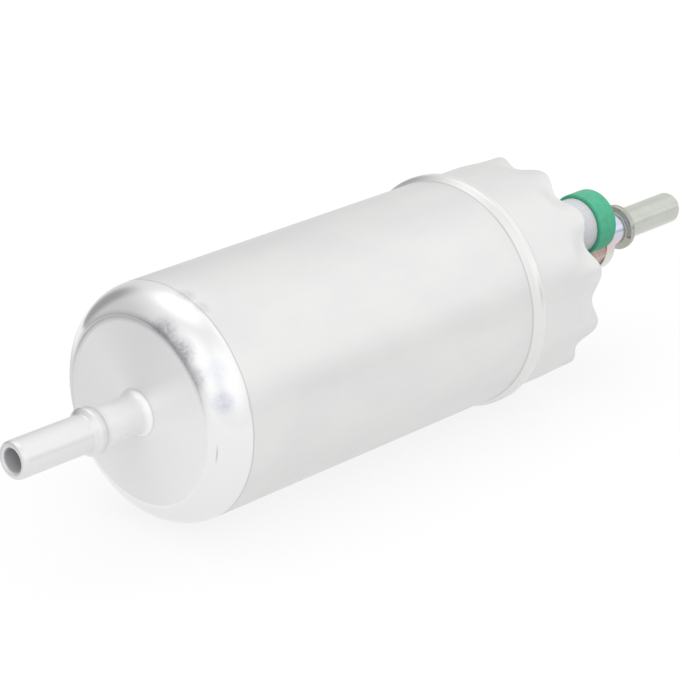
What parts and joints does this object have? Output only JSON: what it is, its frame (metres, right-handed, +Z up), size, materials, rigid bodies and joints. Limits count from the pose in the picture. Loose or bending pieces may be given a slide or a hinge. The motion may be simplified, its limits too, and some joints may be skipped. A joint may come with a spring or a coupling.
{
  "type": "fuel pump",
  "caption": "In-line electric fuel pump: drawn aluminium can with crimped rim, inlet nipple, steel outlet nipple and round electrical socket.",
  "frame": {"origin": "middle of the smooth land that the clamp band grips, on the pump's axis", "axes": "+X along the pump from inlet to outlet, +Z up"},
  "size_m": [0.2417, 0.0628, 0.0628],
  "materials": {
    "can": "satin drawn aluminium, polished shoulder and bead",
    "nipple": "polished",
    "mesh": "fine woven mesh",
    "sintered_steel": "ground sintered steel",
    "fastener_steel": "plain",
    "bronze": "sintered bronze and copper",
    "shaft_steel": "ground",
    "core_steel": "laminated and drawn steel",
    "copper": "enamelled copper wire",
    "washer": "fibre",
    "magnet": "ferrite",
    "spring_steel": "spring steel",
    "holder": "moulded",
    "carbon": "copper graphite",
    "cover": "pale grey moulding",
    "o_ring": "fluoro rubber",
    "seal": "green silicone",
    "terminal": "tinned brass",
    "zinc": "zinc plated with pale pink and blue passivation",
    "soft_washer": "soft aluminium",
    "poppet": "acetal"
  },
  "bodies": {
    "housing": {"pump_can": "can", "inlet_fitting": "nipple", "inlet_strainer": "mesh", "suction_plate": "sintered_steel", "pump_ring": "sintered_steel", "pressure_plate": "sintered_steel", "pump_screws": "fastener_steel", "front_bush": "bronze", "rear_bush": "bronze", "flux_tube": "core_steel", "upper_magnet": "magnet", "lower_magnet": "magnet", "left_magnet_clip": "spring_steel", "right_magnet_clip": "spring_steel", "brush_holder": "holder", "upper_brush_spring": "spring_steel", "lower_brush_spring": "spring_steel", "end_cover": "cover", "bearing_carrier": "cover", "cover_o_ring": "o_ring", "connector_seal": "seal", "positive_terminal": "terminal", "negative_terminal": "terminal", "outlet_fitting": "zinc", "outlet_washer": "soft_washer", "check_valve_spring": "spring_steel", "relief_spring": "spring_steel", "relief_plug": "fastener_steel"},
    "rotor": {"armature_shaft": "shaft_steel", "armature_core": "core_steel", "armature_windings": "copper", "commutator": "bronze", "thrust_washers": "washer", "inner_rotor": "sintered_steel"},
    "ring_rotor": {"outer_rotor": "sintered_steel"},
    "poppet": {"check_valve_poppet": "poppet"},
    "ball": {"relief_ball": "shaft_steel"},
    "upper_brush_body": {"upper_brush": "carbon"},
    "lower_brush_body": {"lower_brush": "carbon"}
  },
  "joints": [
    {"name": "armature_spin", "type": "hinge", "parent": "housing", "child": "rotor", "pos_m": [0, 0, 0], "axis": [1, 0, 0], "continuous": true},
    {"name": "outer_rotor_spin", "type": "hinge", "parent": "housing", "child": "ring_rotor", "pos_m": [-0.0399, 0, 0.0015], "axis": [1, 0, 0], "continuous": true},
    {"name": "check_valve_lift", "type": "slide", "parent": "housing", "child": "poppet", "axis": [1, 0, 0], "range_m": [0, 0.003], "stiffness_N_per_m": 400, "springref_m": -0.005, "deforming": ["check_valve_spring"]},
    {"name": "relief_valve_lift", "type": "slide", "parent": "housing", "child": "ball", "axis": [-1, 0, 0], "range_m": [0, 0.002], "stiffness_N_per_m": 1500, "springref_m": -0.004, "deforming": ["relief_spring"]},
    {"name": "upper_brush_slide", "type": "slide", "parent": "housing", "child": "upper_brush_body", "axis": [0, 0, 1], "range_m": [0, 0.002], "stiffness_N_per_m": 500, "springref_m": -0.004, "deforming": ["upper_brush_spring"]},
    {"name": "lower_brush_slide", "type": "slide", "parent": "housing", "child": "lower_brush_body", "axis": [0, 0, -1], "range_m": [0, 0.002], "stiffness_N_per_m": 500, "springref_m": -0.004, "deforming": ["lower_brush_spring"]}
  ],
  "couplings": [
    {"joint": "outer_rotor_spin", "follows": "armature_spin", "ratio": 0.85714}
  ]
}
